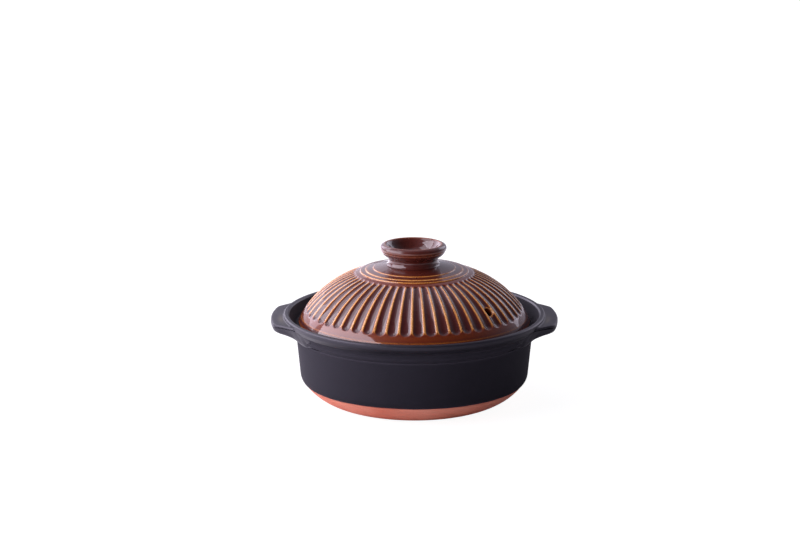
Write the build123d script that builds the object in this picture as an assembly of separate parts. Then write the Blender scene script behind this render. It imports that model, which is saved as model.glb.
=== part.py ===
from build123d import *
from math import atan2, cos, degrees, hypot, pi, radians, sin, sqrt
import os

# A lidded clay cooking pot: a wide bowl on a bare foot, with a collar, a lip and an inner
# gallery, two ear lugs, and a domed lid with carved flutes, a cup knob and a steam hole.
# Millimetres. Z is up, the origin is under the middle of the foot, the lugs are along X,
# and the side that faces a cook is towards -Y.

# Pot, outside
pot_height = 86.3
lip_radius = 128.0
lip_band = 5.4
lip_rounding = 2.2
lip_edge_depth = 2.6
lip_overhang = 8.8
flare_depth = 12.6
flare_rounding = 4.0
band_overhang = 0.8
collar_depth = 20.0
collar_step = 2.5
collar_roll = 3.0
collar_rounding = 2.0
bead_depth = 3.4
bead_stand = 0.5
bead_rounding = 0.6
wall_taper = 4.2
heel_height = 23.0
heel_sag = 3.5
heel_rounding = 14.0
heel_width = 29.1
foot_rounding = 1.2
foot_ring = 24.0
foot_recess = 1.5

# Pot, inside
gallery_depth = 10.6
gallery_lean = 6.2
gallery_rounding = 2.4
ledge_width = 9.2
ledge_rounding = 1.8
bowl_taper = 3.4
bowl_corner = 26.0
floor_thickness = 9.0

# Lugs
lug_overhang = 12.4
lug_half_width = 53.2
lug_corner_setback = 4.4
lug_corner_y = 36.0
lug_corner_rounding = 9.0
lug_top_drop = 3.0
lug_top_fall = 0.8
lug_tip_thickness = 7.2
lug_root_thickness = 15.4
lug_edge_rounding = 1.1
lug_bury = 46.0
grip_line_depth = 1.1
grip_line_height = 0.9
grip_line_drop = 2.5
grip_line_inset = 2.5

# Lid
lid_side_gap = 3.0
lid_seat_gap = 0.3
lid_seat_width = 8.4
lid_flange_height = 2.7
lid_flange_rounding = 1.6
lid_arris_lean = 2.6
lid_arris_height = 7.1
lid_arris_rounding = 0.7
lid_wall = 6.6
dome_rise = 43.3
dome_sag_share = 0.0968
crown_radius = 52.9
crown_ring_insets = (5.4, 12.8)
crown_rise = 6.3
crown_step = 0.9
ring_step = 0.45
ring_run = 0.6
pad_margin = 1.1
inner_crown_inset = 2.9
inner_crown_rise = 5.4

# Flutes
flute_count = 54
flute_crown_margin = 4.5
flute_arris_margin = 3.8
flute_width_share = 0.9
flute_depth_share = 0.165
flute_phase_degrees = -1.3
flute_end_shares = (0.0, 0.55, 0.85)
flute_run_shares = (0.25, 0.5, 0.75)

# Steam hole
steam_hole_radius = 4.0
steam_hole_inset = 15.8
steam_hole_flute = 7

# Knob
knob_height = 22.0
knob_foot_radius = 23.3
knob_stem_swell = 1.8
knob_foot_height = 2.8
knob_stem_height = 8.0
knob_stem_rounding = 1.6
knob_flare_overhang = 5.2
knob_flare_height = 12.4
knob_lip_overhang = 2.1
knob_lip_height = 16.6
knob_crest_inset = 5.0
knob_crest_rounding = 1.5
knob_bowl_depth = 14.2
knob_bowl_floor = 13.0
knob_bowl_belly = 5.5

# Anything that a cutter runs past
overrun = 5.0

# Worked out from the above
lip_inner_radius = lip_radius - lip_band
ledge_height = pot_height - gallery_depth
gallery_foot_radius = lip_inner_radius - gallery_lean
bowl_radius = gallery_foot_radius - ledge_width
collar_height = pot_height - collar_depth
band_radius = lip_radius - lip_overhang
collar_radius = band_radius - band_overhang
wall_top_radius = collar_radius - collar_step
wall_foot_radius = wall_top_radius - wall_taper
foot_radius = wall_foot_radius - heel_width
lug_top = pot_height - lug_top_drop
lug_reach = lip_radius + lug_overhang
lug_corner_x = lug_reach - lug_corner_setback

seat_height = ledge_height + lid_seat_gap
flange_radius = gallery_foot_radius - lid_side_gap
arris_radius = flange_radius - lid_arris_lean
arris_height = seat_height + lid_arris_height
dome_top = arris_height + dome_rise
crown_edge = dome_top + crown_step
pad_height = crown_edge + crown_rise
flute_inner_radius = crown_radius + flute_crown_margin
flute_outer_radius = arris_radius - flute_arris_margin
steam_hole_distance = arris_radius - steam_hole_inset

pad_radius = knob_foot_radius + pad_margin
knob_stem_radius = knob_foot_radius + knob_stem_swell
knob_flare_radius = knob_stem_radius + knob_flare_overhang
knob_lip_radius = knob_flare_radius + knob_lip_overhang
knob_crest_radius = knob_lip_radius - knob_crest_inset


def outline(*edges):
    """A closed profile drawn as radius and height, stood up for turning about Z."""
    return Plane.XZ * make_face(Wire(edges))


def rounded(face, point, radius):
    """The profile with the corner nearest to a radius and height rounded off."""
    corner = face.vertices().sort_by_distance((point[0], 0, point[1]))[0]
    return fillet(corner, radius)


def bulge_point(start, end, sag):
    """The middle of an arc from start to end that stands off its chord by sag."""
    run, rise = end[0] - start[0], end[1] - start[1]
    length = hypot(run, rise)
    across = (start[0] + end[0]) / 2 - sag * rise / length
    up = (start[1] + end[1]) / 2 + sag * run / length
    return (across, up)


def turned(face):
    return revolve(face, Axis.Z)


# The pot is thrown in one piece: foot, heel, wall, collar, lip, gallery and bowl.
def pot_outer_edges():
    """The outside from the middle of the base up to the lip's inner edge."""
    recess_radius = foot_radius - foot_ring
    heel_top = (wall_foot_radius, heel_height)
    heel_start = (foot_radius, 0)
    bead_height = collar_height - bead_depth
    taper = (wall_top_radius - wall_foot_radius) / (collar_height - heel_height)
    bead_wall = wall_foot_radius + taper * (bead_height - heel_height)
    base = Polyline(
        (0, foot_recess),
        (recess_radius - foot_recess, foot_recess),
        (recess_radius, 0),
        heel_start,
    )
    heel = ThreePointArc(heel_start, bulge_point(heel_start, heel_top, -heel_sag), heel_top)
    side = FilletPolyline(
        heel_top,
        (bead_wall, bead_height),
        (wall_top_radius + bead_stand, collar_height - bead_rounding),
        (wall_top_radius, collar_height),
        (collar_radius, collar_height + collar_roll),
        (band_radius, pot_height - flare_depth),
        (lip_radius, pot_height - lip_edge_depth - lip_rounding),
        (lip_radius, pot_height),
        (lip_inner_radius, pot_height),
        radius=[
            bead_depth,
            bead_rounding,
            0,
            collar_rounding,
            flare_rounding,
            lip_rounding,
            lip_rounding,
        ],
    )
    return [*base.edges(), *heel.edges(), *side.edges()]


def make_pot_body():
    inside = FilletPolyline(
        (lip_inner_radius, pot_height),
        (gallery_foot_radius, ledge_height),
        (bowl_radius, ledge_height),
        (bowl_radius - bowl_taper, floor_thickness),
        (0, floor_thickness),
        radius=[gallery_rounding, ledge_rounding, bowl_corner],
    )
    axis_line = Line((0, floor_thickness), (0, foot_recess))
    profile = outline(*pot_outer_edges(), *inside.edges(), *axis_line.edges())
    profile = rounded(profile, (lip_inner_radius, pot_height), lip_rounding)
    profile = rounded(profile, (wall_foot_radius, heel_height), heel_rounding)
    profile = rounded(profile, (foot_radius, 0), foot_rounding)
    return turned(profile)


def make_pot_blank():
    """The pot filled solid, which a lug is cut back to so that it seats on the wall."""
    top = Line((lip_inner_radius, pot_height), (0, pot_height))
    axis_line = Line((0, pot_height), (0, foot_recess))
    profile = outline(*pot_outer_edges(), *top.edges(), *axis_line.edges())
    profile = rounded(profile, (wall_foot_radius, heel_height), heel_rounding)
    profile = rounded(profile, (foot_radius, 0), foot_rounding)
    return turned(profile)


# Each lug is an ear pressed in a mould and luted under the lip.
def lug_side(sign):
    """One slanting side of the lug's plan, from inside the pot out to its corner."""
    meets_lip = sqrt(lip_radius**2 - lug_half_width**2)
    slope = (lug_half_width - lug_corner_y) / (lug_corner_x - meets_lip)
    buried = lug_corner_x - lug_bury
    return (buried, sign * (lug_corner_y + slope * lug_bury)), (lug_corner_x, sign * lug_corner_y)


def lug_plan():
    near_right, corner_right = lug_side(-1)
    near_left, corner_left = lug_side(1)
    tip = ThreePointArc(corner_right, (lug_reach, 0), corner_left)
    sides = Polyline(corner_left, near_left, near_right, corner_right)
    plan = make_face(Wire([*tip.edges(), *sides.edges()]))
    corners = plan.vertices().filter_by(lambda v: v.X > lip_radius)
    return fillet(corners, lug_corner_rounding)


def lug_side_view():
    """The lug seen along Y: the top falls a little, and the underside rises to the tip."""
    buried = lug_corner_x - lug_bury
    fall = lug_top_fall / (lug_reach - lip_radius)
    root_bottom = lug_top - lug_root_thickness
    view = Polyline(
        (buried, lug_top + fall * (lip_radius - buried)),
        (lug_reach, lug_top - lug_top_fall),
        (lug_reach, lug_top - lug_tip_thickness),
        (collar_radius, root_bottom),
        (buried, root_bottom),
        close=True,
    )
    return Plane.XZ * make_face(view)


def make_lug(blank):
    base = Plane.XY.offset(lug_top - lug_root_thickness - overrun)
    standing = extrude(base * lug_plan(), lug_root_thickness + 2 * overrun)
    lug = standing & extrude(lug_side_view(), lug_half_width * 2, both=True)
    outer_edges = lug.edges().filter_by(lambda e: e.center().X > lip_radius)
    rims = outer_edges.filter_by(lambda e: abs(e.tangent_at(0.5).Z) < sin(radians(45)))
    lug = fillet(rims, lug_edge_rounding)

    # A fine grip line runs under the top edge of each slanting side
    for near, corner in (lug_side(-1), lug_side(1)):
        heading = degrees(atan2(corner[1] - near[1], corner[0] - near[0]))
        length = hypot(corner[0] - near[0], corner[1] - near[1]) - lug_corner_rounding / 2
        start = Location((near[0], near[1], lug_top - grip_line_drop), (0, 0, heading))
        groove = Box(
            length - grip_line_inset,
            grip_line_depth * 2,
            grip_line_height,
            align=(Align.MIN, Align.CENTER, Align.CENTER),
        )
        lug = lug - start * groove
    return lug - blank


# The lid's dome is turned first, and the flutes and the steam hole are carved after.
def dome_arc():
    """Centre, radius and sag of the outer arc that runs from the crown to the arris."""
    run, rise = arris_radius - crown_radius, dome_rise
    chord = hypot(run, rise)
    sag = chord * dome_sag_share
    radius = (chord**2 / 4 + sag**2) / (2 * sag)
    middle = ((arris_radius + crown_radius) / 2, (arris_height + dome_top) / 2)
    depth = radius - sag
    centre = (middle[0] - depth * rise / chord, middle[1] - depth * run / chord)
    return centre, radius, sag


def dome_point(distance):
    """The point of the dome's arc at a distance from the axis, and the slope there."""
    centre, radius, _ = dome_arc()
    rise = sqrt(radius**2 - (distance - centre[0]) ** 2)
    return (distance, centre[1] + rise), atan2(distance - centre[0], rise)


def crown_points():
    """The crown from its last step in to the knob's pad, with a low step at each ring."""
    fall = crown_rise / (crown_radius - pad_radius)
    points = [(crown_radius, crown_edge)]
    for inset in crown_ring_insets:
        ring = crown_radius - inset
        height = pad_height - (ring - pad_radius) * fall
        points += [(ring + ring_run, height - ring_step), (ring, height)]
    return points + [(pad_radius, pad_height), (0, pad_height)]


def make_lid_blank():
    centre, radius, sag = dome_arc()
    inner_crown_radius = crown_radius - inner_crown_inset
    inner_radius = radius - lid_wall
    seat_inner = flange_radius - lid_seat_width
    skirt_top = centre[1] + sqrt(inner_radius**2 - (seat_inner - centre[0]) ** 2)
    inner_top = centre[1] + sqrt(inner_radius**2 - (inner_crown_radius - centre[0]) ** 2)
    inner_middle_distance = (seat_inner + inner_crown_radius) / 2
    inner_middle = centre[1] + sqrt(inner_radius**2 - (inner_middle_distance - centre[0]) ** 2)
    dome_start, dome_end = (crown_radius, dome_top), (arris_radius, arris_height)
    outer = ThreePointArc(dome_end, bulge_point(dome_start, dome_end, sag), dome_start)
    crown = Polyline(dome_start, *crown_points())
    inner_middle_point = (inner_middle_distance, inner_middle)
    inner = ThreePointArc(
        (inner_crown_radius, inner_top), inner_middle_point, (seat_inner, skirt_top)
    )
    roof_height = inner_top + inner_crown_rise
    roof = Polyline((0, pad_height), (0, roof_height), (inner_crown_radius, inner_top))
    edge = Polyline(
        (seat_inner, skirt_top),
        (seat_inner, seat_height),
        (flange_radius, seat_height),
        (flange_radius, seat_height + lid_flange_height),
        dome_end,
    )
    parts = (outer, crown, roof, inner, edge)
    profile = outline(*[piece for part in parts for piece in part.edges()])
    profile = rounded(profile, (flange_radius, seat_height), lid_flange_rounding)
    profile = rounded(profile, dome_end, lid_arris_rounding)
    return turned(profile)


def flute_section(distance, along, radius, stand_off):
    """One round section of the carving tool, set square to the dome's slope."""
    centre, dome_radius, _ = dome_arc()
    _, angle = dome_point(distance)
    angle = angle + along / (dome_radius + stand_off)
    reach = dome_radius + stand_off
    point = (centre[0] + reach * sin(angle), 0, centre[1] + reach * cos(angle))
    heading = (cos(angle), 0, -sin(angle))
    frame = Plane(origin=point, x_dir=(0, 1, 0), z_dir=heading)
    return frame * Circle(radius)


def flute_tool():
    """A tapering round-ended gouge laid along the dome: its sections follow the pitch."""

    def gouge(distance):
        pitch = 2 * pi * distance / flute_count
        half_width = pitch * flute_width_share / 2
        depth = pitch * flute_depth_share
        radius = (half_width**2 + depth**2) / (2 * depth)
        return half_width, radius, radius - depth

    inner_half, _, _ = gouge(flute_inner_radius)
    outer_half, _, _ = gouge(flute_outer_radius)
    _, inner_slope = dome_point(flute_inner_radius)
    _, outer_slope = dome_point(flute_outer_radius)
    first = flute_inner_radius + inner_half * cos(inner_slope)
    last = flute_outer_radius - outer_half * cos(outer_slope)

    sections = []
    for share in reversed(flute_end_shares):
        _, radius, stand_off = gouge(first)
        back = share * radius
        sections.append(flute_section(first, -back, sqrt(radius**2 - back**2), stand_off))
    for share in flute_run_shares:
        distance = first + share * (last - first)
        _, radius, stand_off = gouge(distance)
        sections.append(flute_section(distance, 0, radius, stand_off))
    for share in flute_end_shares:
        _, radius, stand_off = gouge(last)
        ahead = share * radius
        sections.append(flute_section(last, ahead, sqrt(radius**2 - ahead**2), stand_off))
    return loft(sections)


def flute_heading(index):
    """The angle about Z of the middle of a flute, counted from the front to the right."""
    step = 360 / flute_count
    return -90 + flute_phase_degrees + step * (index + 0.5)


def make_lid_dome():
    lid = make_lid_blank()
    tool = flute_tool()
    # Neighbouring tools overlap above the dome, so every second flute is cut at a time
    for turn in (0, 1):
        tools = [Rot(0, 0, flute_heading(i)) * tool for i in range(turn, flute_count, 2)]
        lid = lid - tools
    point, angle = dome_point(steam_hole_distance)
    place = Location((point[0], 0, point[1]), (0, degrees(angle), 0))
    drill = Cylinder(steam_hole_radius, 2 * (lid_wall + overrun))
    return lid - Rot(0, 0, flute_heading(steam_hole_flute)) * place * drill


# The knob is a small turned cup, luted foot down on the crown's pad.
def make_lid_knob():
    base = pad_height
    crest = (knob_crest_radius, base + knob_height)
    flare = (knob_flare_radius, base + knob_flare_height)
    lip = (knob_lip_radius, base + knob_lip_height)
    bowl_floor = base + knob_height - knob_bowl_depth
    stem = Polyline(
        (0, base),
        (knob_foot_radius, base),
        (knob_stem_radius, base + knob_foot_height),
        (knob_stem_radius, base + knob_stem_height),
        flare,
        lip,
    )
    lip_sag = (knob_lip_radius - knob_crest_radius) / 4
    rim = ThreePointArc(lip, bulge_point(crest, lip, lip_sag), crest)
    bowl_edge = (knob_bowl_floor, bowl_floor)
    bowl = ThreePointArc(crest, bulge_point(crest, bowl_edge, knob_bowl_belly), bowl_edge)
    middle = Polyline(bowl_edge, (0, bowl_floor), (0, base))
    parts = (stem, rim, bowl, middle)
    profile = outline(*[piece for part in parts for piece in part.edges()])
    profile = rounded(profile, crest, knob_crest_rounding)
    profile = rounded(profile, (knob_stem_radius, base + knob_stem_height), knob_stem_rounding)
    return turned(profile)


def save(name, shape):
    shape.label = name
    export_step(shape, "parts/" + name + ".step")
    print(name, round(shape.volume), "cubic mm,", len(shape.faces()), "faces")


os.makedirs("parts", exist_ok=True)
pot_blank = make_pot_blank()
right_lug = make_lug(pot_blank)
save("pot_body", make_pot_body())
save("lug_right", right_lug)
save("lug_left", mirror(right_lug, about=Plane.YZ))
save("lid_dome", make_lid_dome())
save("lid_knob", make_lid_knob())
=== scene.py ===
from math import acos, atan2, cos, degrees, hypot, pi, radians, sin, sqrt, tan
import bpy
import numpy as np
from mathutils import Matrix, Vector


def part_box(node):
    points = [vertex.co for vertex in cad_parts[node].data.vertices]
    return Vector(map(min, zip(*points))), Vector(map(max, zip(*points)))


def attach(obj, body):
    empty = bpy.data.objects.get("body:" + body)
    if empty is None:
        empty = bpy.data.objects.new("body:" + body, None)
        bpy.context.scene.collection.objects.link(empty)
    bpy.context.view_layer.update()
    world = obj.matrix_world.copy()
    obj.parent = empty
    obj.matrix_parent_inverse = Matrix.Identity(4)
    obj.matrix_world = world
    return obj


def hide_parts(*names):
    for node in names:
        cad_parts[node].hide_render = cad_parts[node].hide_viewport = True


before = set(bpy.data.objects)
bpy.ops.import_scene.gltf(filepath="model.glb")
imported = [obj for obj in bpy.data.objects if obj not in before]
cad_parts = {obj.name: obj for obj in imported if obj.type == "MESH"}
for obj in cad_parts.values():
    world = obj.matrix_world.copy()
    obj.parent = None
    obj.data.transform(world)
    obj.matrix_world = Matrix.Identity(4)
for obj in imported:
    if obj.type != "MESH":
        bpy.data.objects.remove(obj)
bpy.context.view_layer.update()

# Everything below is written in millimetres and turned into metres by toMesh
mm = 0.001

cameraSetup = {
    "place": (0.0, -2200.0, 660.7),
    "tiltDown": 13.5216,  # degrees
    "turnLeft": 0.3640,
    "focalShare": 2318.0 / 800.0,  # focal length over the picture's width
}

lampSetup = {
    "leftSoftbox": {"at": (-1.3, -0.32, 0.72), "size": (1.9, 1.1), "glow": 4.6, "colour": (0.93, 0.88, 1.0)},
    "leftTopSoftbox": {"at": (-0.8, 0.05, 1.3), "size": (0.9, 0.7), "glow": 2.2, "colour": (0.95, 0.90, 1.0)},
    "frontFill": {"at": (-0.5, -2.4, 0.5), "size": (1.6, 0.8), "glow": 1.4, "colour": (1.0, 0.98, 0.97),
                  "seenInGlaze": False},
    "backPanel": {"at": (-1.2, 2.4, 0.75), "size": (2.3, 1.4), "glow": 0.48, "colour": (0.90, 0.86, 1.0)},
    "backLeftSoftbox": {"at": (-0.95, 1.05, 0.85), "size": (1.1, 1.0), "glow": 2.2,
                        "colour": (0.90, 0.84, 1.0)},
    "backRightPanel": {"at": (1.1, 1.4, 0.9), "size": (1.1, 0.9), "glow": 1.3, "colour": (0.88, 0.84, 1.0)},
    "topPanel": {"at": (-0.3, 0.15, 1.6), "size": (1.2, 0.9), "glow": 0.22, "colour": (0.95, 0.88, 1.0)},
}

# Pairs are the values at the two ends of a soft run
studioSetup = {
    "worldColour": (0.86, 0.82, 1.0),
    "worldBack": (0.06, 0.42),  # seen towards the front, towards the back
    "worldLeft": 0.30,  # what the left adds
    "paper": (0.93, 0.93, 0.94),
    "floorGlow": (1.25, 1.36),  # beside the pot, far away
    "floorPaintedLightInGlaze": (2.4, 0.34),  # painted light seen in the glaze: left side, right side
    "floorPaintedLightBehind": 0.7,  # painted light: what the floor's glow adds for the glaze behind and aside
    "floorPaintedShadowNear": (0.85, 0.03),  # painted shadow: what is left of the glow close to the pot: left side, front and right
    "floorTintInGlaze": (0.92, 0.86, 1.0),
    "glowShare": 0.75,
}

potSetup = {
    "columns": 288,
    "lipBand": 5.4,
    "lipEdge": 2.6,
    "lipOverhang": 8.8,
    "flareDepth": 12.6,
    "bandOverhang": 0.8,
    "collarDepth": 20.0,
    "collarStep": 2.5,
    "collarRoll": 3.0,
    "beadDepth": 1.7,
    "beadStand": 0.45,
    "wallTaper": 4.2,
    "heelHeight": 23.0,
    "heelSag": 3.5,
    "heelWidth": 29.1,
    "footRing": 24.0,
    "footRecess": 1.5,
    "glazeLineHeight": 19.4,
    "glazeThickness": 0.3,
    "lineWaves": ((0.22, 3, 0.8), (0.13, 7, 2.1), (0.08, 17, 0), (0.05, 41, 1)),  # size, count, turn
    "galleryDepth": 10.6,
    "galleryLean": 6.2,
    "ledgeWidth": 9.2,
    "bowlTaper": 3.4,
    "bowlCorner": 26.0,
    "floorThickness": 9.0,
}

lugSetup = {
    "columns": 260,
    "halfAngle": 39.0,  # degrees to each side of the lug's middle
    "endSink": 5.0,  # how far the ends are drawn into the pot
    "sinkFrom": 27.0,  # degrees, as the next two
    "heelSinkFrom": 17.0,
    "gripLineFrom": 15.5,
    "cornerBack": 4.4,
    "cornerY": 36.0,
    "halfWidth": 53.2,
    "cornerRound": 12.0,
    "topDrop": 3.0,
    "topFall": 0.8,
    "edgeRound": 1.5,
    "tipRound": 1.4,  # added to the edge's rounding beyond the tip radius
    "tipRadius": 133.0,
    "underside": (
        (-10.8, -21.4), (-8.5, -19.8), (-7.0, -18.4), (-5.0, -16.7), (-3.0, -15.6),
        (0.0, -14.4), (3.0, -13.5), (6.0, -12.8), (9.0, -12.2), (13.0, -11.8),
    ),  # out from the lip, down from the top
    "sideLean": 8.5,
    "undersideDrop": 2.2,
    "blend": 2.4,
    "gripLineRadius": 124.0,  # the line is on the side beyond it
    "gripLineDrop": 2.6,
    "gripLineDepth": 1.5,
    "gripLineHalf": 0.7,
}

lidSetup = {
    "columnShares": (-0.5, -0.477, -0.452, -0.42, -0.37, -0.29, -0.2, -0.1,
                     0.0, 0.1, 0.2, 0.29, 0.37, 0.42, 0.452, 0.477),  # across one flute
    "plainColumns": 216,  # a divisor of the fluted columns
    "flangeHeight": 2.7,
    "seatWidth": 8.4,
    "arrisLean": 2.6,
    "arrisHeight": 7.6,
    "wall": 6.6,
    "domeRise": 43.6,
    "domeSag": 7.0,
    "crownRadius": 52.9,
    "crownRings": (47.5, 40.1),
    "crownStep": 0.9,
    "ringStep": 0.5,
    "padRadius": 24.4,
    "padHeight": 134.4,
    "innerCrown": 50.0,
    "innerRise": 5.4,
    "fluteCount": 54,
    "fluteInner": 57.4,
    "fluteOuter": 107.2,
    "fluteWidthShare": 0.9,
    "fluteDepthShare": 0.17,
    "flutePhase": -1.3,  # degrees
    "ridgeSoftness": 0.22,
    "holeRadius": 4.4,
    "holeDistance": 95.0,
    "holeFlute": 7,
    "holeFlare": 0.6,
    "holeRim": (0.75, 0.42),  # how thin the glaze is on it, half width
    "domeRows": (11, 34, 17),  # above, along and below the flutes
    "ridgeLine": (0.36, 0.65),  # half width of the pale line in the flute and beside it, by depth
    "haloReach": 1.1,  # the faint line's half width
    "haloThin": 0.06,
    "bandThin": 0.085,
    "poolOverArris": 3.2,
    "crownPool": 0.75,  # how much glaze pools on the crown
}

knobSetup = {
    "columns": 240,
    "offCentre": -1.0,
    "pooledGlaze": 0.8,
    "thinEdges": ((27.5, 154.7, 0.9, 0.3), (31.1, 148.0, 0.5, 0.2), (31.9, 150.0, 1.4, 0.12)),
    "profile": (
        (24.6, 134.0), (26.3, 134.3), (25.9, 134.75), (25.2, 135.6), (24.6, 136.9), (24.3, 138.4),
        (24.2, 139.8), (24.5, 140.9), (25.3, 141.9), (26.7, 142.8), (28.6, 144.2), (30.1, 145.7),
        (30.95, 147.0), (31.15, 147.7), (31.25, 148.1), (31.9, 148.8), (32.35, 150.0), (32.4, 151.2),
        (32.0, 152.5), (31.0, 153.6), (29.6, 154.35), (28.3, 154.7),
        (27.3, 154.65), (26.3, 154.1), (24.6, 152.0), (22.5, 148.5), (19.4, 144.9), (14.0, 142.4),
        (7.0, 141.45), (0.0, 141.3),
    ),
}

glazeLooks = {
    "potBlack": (0.0060, 0.0054, 0.0100),
    "potGrey": (0.0100, 0.0090, 0.0150),
    # pale specks and thin glaze, and on the lip's edges also a painted highlight
    "potPaleAndSheen": (0.050, 0.045, 0.060),
    "potPatch": (0.11, 0.095, 0.065),
    "potRoughness": (0.36, 0.44),
    "insideRoughness": 0.85,
    "lidPool": (0.062, 0.012, 0.011),
    "lidDeep": (0.080, 0.015, 0.012),
    "lidBody": (0.165, 0.024, 0.006),
    "lidBrown": (0.25, 0.052, 0.007),
    "lidAmber": (0.56, 0.195, 0.030),
    "lidPale": (0.90, 0.48, 0.17),
    "lidRoughness": (0.24, 0.34),
    "clay": (0.65, 0.185, 0.112),
    "clayPale": (0.80, 0.31, 0.21),
    "clayDark": (0.42, 0.12, 0.08),
    "clayRoughness": (0.78, 0.92),
}


def clamp(value, low=0.0, high=1.0):
    return min(high, max(low, value))


def addObject(name, data):
    added = bpy.data.objects.new(name, data)
    bpy.context.scene.collection.objects.link(added)
    return added


# One smooth mesh object from points in millimetres
def toMesh(name, points, faces, materials, faceSlots=None):
    mesh = bpy.data.meshes.new(name)
    mesh.from_pydata((np.asarray(points, float) * mm).tolist(), [], faces)
    mesh.polygons.foreach_set("use_smooth", [True] * len(faces))
    for material in materials:
        mesh.materials.append(material)
    if faceSlots is not None:
        mesh.polygons.foreach_set("material_index", faceSlots)
    mesh.update()
    return addObject(name, mesh)


# A straight run, or an arc that bulges by sag to the left of its travel
class Segment:
    def __init__(self, start, end, sag):
        self.start, self.end = np.array(start, float), np.array(end, float)
        self.sag = sag
        along = self.end - self.start
        chord = hypot(*along)
        self.along = along / chord
        self.length = chord
        if sag:
            left = np.array((-self.along[1], self.along[0]))
            self.radius = (chord * chord / 4 + sag * sag) / (2 * abs(sag))
            side = 1 if sag > 0 else -1
            self.centre = (self.start + self.end) / 2 - left * side * (self.radius - abs(sag))
            first = self.start - self.centre
            self.firstAngle = atan2(first[1], first[0])
            half = atan2(chord / 2, self.radius - abs(sag))
            self.sweep = -side * 2 * half
            self.length = abs(self.sweep) * self.radius

    def at(self, distance):
        if not self.sag:
            return self.start + self.along * distance, self.along
        angle = self.firstAngle + self.sweep * distance / self.length
        turn = 1 if self.sweep > 0 else -1
        point = self.centre + self.radius * np.array((cos(angle), sin(angle)))
        return point, turn * np.array((-sin(angle), cos(angle)))


# A profile's points from its corners: radius, height, rounding, sag of the run that follows
def roundedPath(corners, spacing=2.6):
    runs = [Segment(a[:2], b[:2], a[3]) for a, b in zip(corners, corners[1:])]
    cuts = [0.0]
    for before, after, corner in zip(runs, runs[1:], corners[1:]):
        one, two = before.at(before.length)[1], after.at(0)[1]
        bend = acos(clamp(float(one @ two), -1.0))
        reach = corner[2] * tan(bend / 2)
        cuts.append(min(reach, before.length * 0.49, after.length * 0.49))
    cuts.append(0.0)
    points = []
    for index, run in enumerate(runs):
        low, high = cuts[index], run.length - cuts[index + 1]
        steps = max(3, int((high - low) / spacing) + 3)
        for k in range(steps + 1):
            share = 0.5 - 0.5 * cos(pi * k / steps)
            if index and k == 0:
                continue
            points.append(run.at(low + (high - low) * share)[0])
        if index + 1 < len(runs) and cuts[index + 1] > 1e-6:
            start, startWay = run.at(high)
            end, endWay = runs[index + 1].at(cuts[index + 1])
            bend = acos(clamp(float(startWay @ endWay), -1.0))
            if bend > 0.01:
                radius = hypot(*(end - start)) / (2 * sin(bend / 2))
                handle = 4 / 3 * tan(bend / 4) * radius
                steps = max(3, int(degrees(bend) / 9) + 2)
                for k in range(1, steps + 1):
                    t = k / steps
                    points.append(
                        (1 - t) ** 3 * start + 3 * (1 - t) ** 2 * t * (start + startWay * handle)
                        + 3 * (1 - t) * t * t * (end - endWay * handle) + t ** 3 * end
                    )
            else:
                points.append(end)
    kept = [points[0]]
    for point in points[1:]:
        if hypot(*(point - kept[-1])) > 0.02:
            kept.append(point)
    return np.array(kept)


# A smooth curve through (radius, height) points
def splinePath(corners, perSpan=5):
    given = np.array(corners, float)
    padded = np.vstack([2 * given[0] - given[1], given, 2 * given[-1] - given[-2]])
    points = []
    for i in range(1, len(padded) - 2):
        a, b, c, d = padded[i - 1:i + 3]
        for k in range(perSpan):
            t = k / perSpan
            points.append(0.5 * (2 * b + (c - a) * t + (2 * a - 5 * b + 4 * c - d) * t * t
                                 + (3 * b - a - 3 * c + d) * t ** 3))
    points.append(given[-1])
    return np.array(points)


# Adds a ring of points at the angles, or one point on the axis
def addRing(points, rows, radius, height, angles):
    if radius < 0.01:
        radius, angles = 0.0, angles[:1]
    rows.append(list(range(len(points), len(points) + len(angles))))
    points += [(radius * cos(a), radius * sin(a), height) for a in angles]


# The faces between two rings of points, where one ring may be a single point
def ringFaces(low, high, flip=False):
    count = max(len(low), len(high))
    faces = []
    for j in range(count):
        k = (j + 1) % count
        corners = [low[j % len(low)], low[k % len(low)], high[k % len(high)], high[j % len(high)]]
        if flip:
            corners[1:] = corners[:0:-1]
        faces.append(tuple(dict.fromkeys(corners)))
    return faces


# A closed lathe form: the profile runs from the axis round to the axis
def turnProfile(profile, columns):
    angles = np.arange(columns) * 2 * pi / columns
    points, faces, rows = [], [], []
    for radius, height in profile:
        addRing(points, rows, radius, height, angles)
    for low, high in zip(rows, rows[1:]):
        faces += ringFaces(low, high)
    return points, faces


def setMask(piece, name, values):
    attribute = piece.data.attributes.new(name, "FLOAT", "POINT")
    attribute.data.foreach_set("value", np.clip(values, 0, 1).astype(np.float32))


# How near each (radius, height) point is to one of the (radius, height, width, strength) edges
def edgeMask(points, edges):
    mask = np.zeros(len(points))
    for radius, height, width, strength in edges:
        away = np.hypot(points[:, 0] - radius, points[:, 1] - height)
        mask = np.maximum(mask, strength / (1 + (away / width) ** 2))
    return mask


# Each point as (radius, height), the way a profile gives it
def turnedBack(points):
    return np.column_stack([np.hypot(points[:, 0], points[:, 1]), points[:, 2]])


def pointsOf(piece):
    points = np.zeros(len(piece.data.vertices) * 3)
    piece.data.vertices.foreach_get("co", points)
    return points.reshape(-1, 3) / mm


def softMax(a, b, blend):
    return 0.5 * (a + b + np.sqrt((a - b) ** 2 + blend * blend))


# Values are constants or outputs of other nodes, and three numbers are a colour
def makeNode(tree, kind, values=None, **settings):
    node = tree.nodes.new(kind)
    for key, value in settings.items():
        setattr(node, key, value)
    for key, value in (values or {}).items():
        if hasattr(value, "links"):
            tree.links.new(value, node.inputs[key])
        elif isinstance(value, tuple) and len(value) == 3:
            node.inputs[key].default_value = (*value, 1.0)
        else:
            node.inputs[key].default_value = value
    return node


def doMath(tree, operation, one, two=0.0, limited=False):
    node = makeNode(tree, "ShaderNodeMath", {0: one, 1: two}, operation=operation, use_clamp=limited)
    return node.outputs[0]


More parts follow.
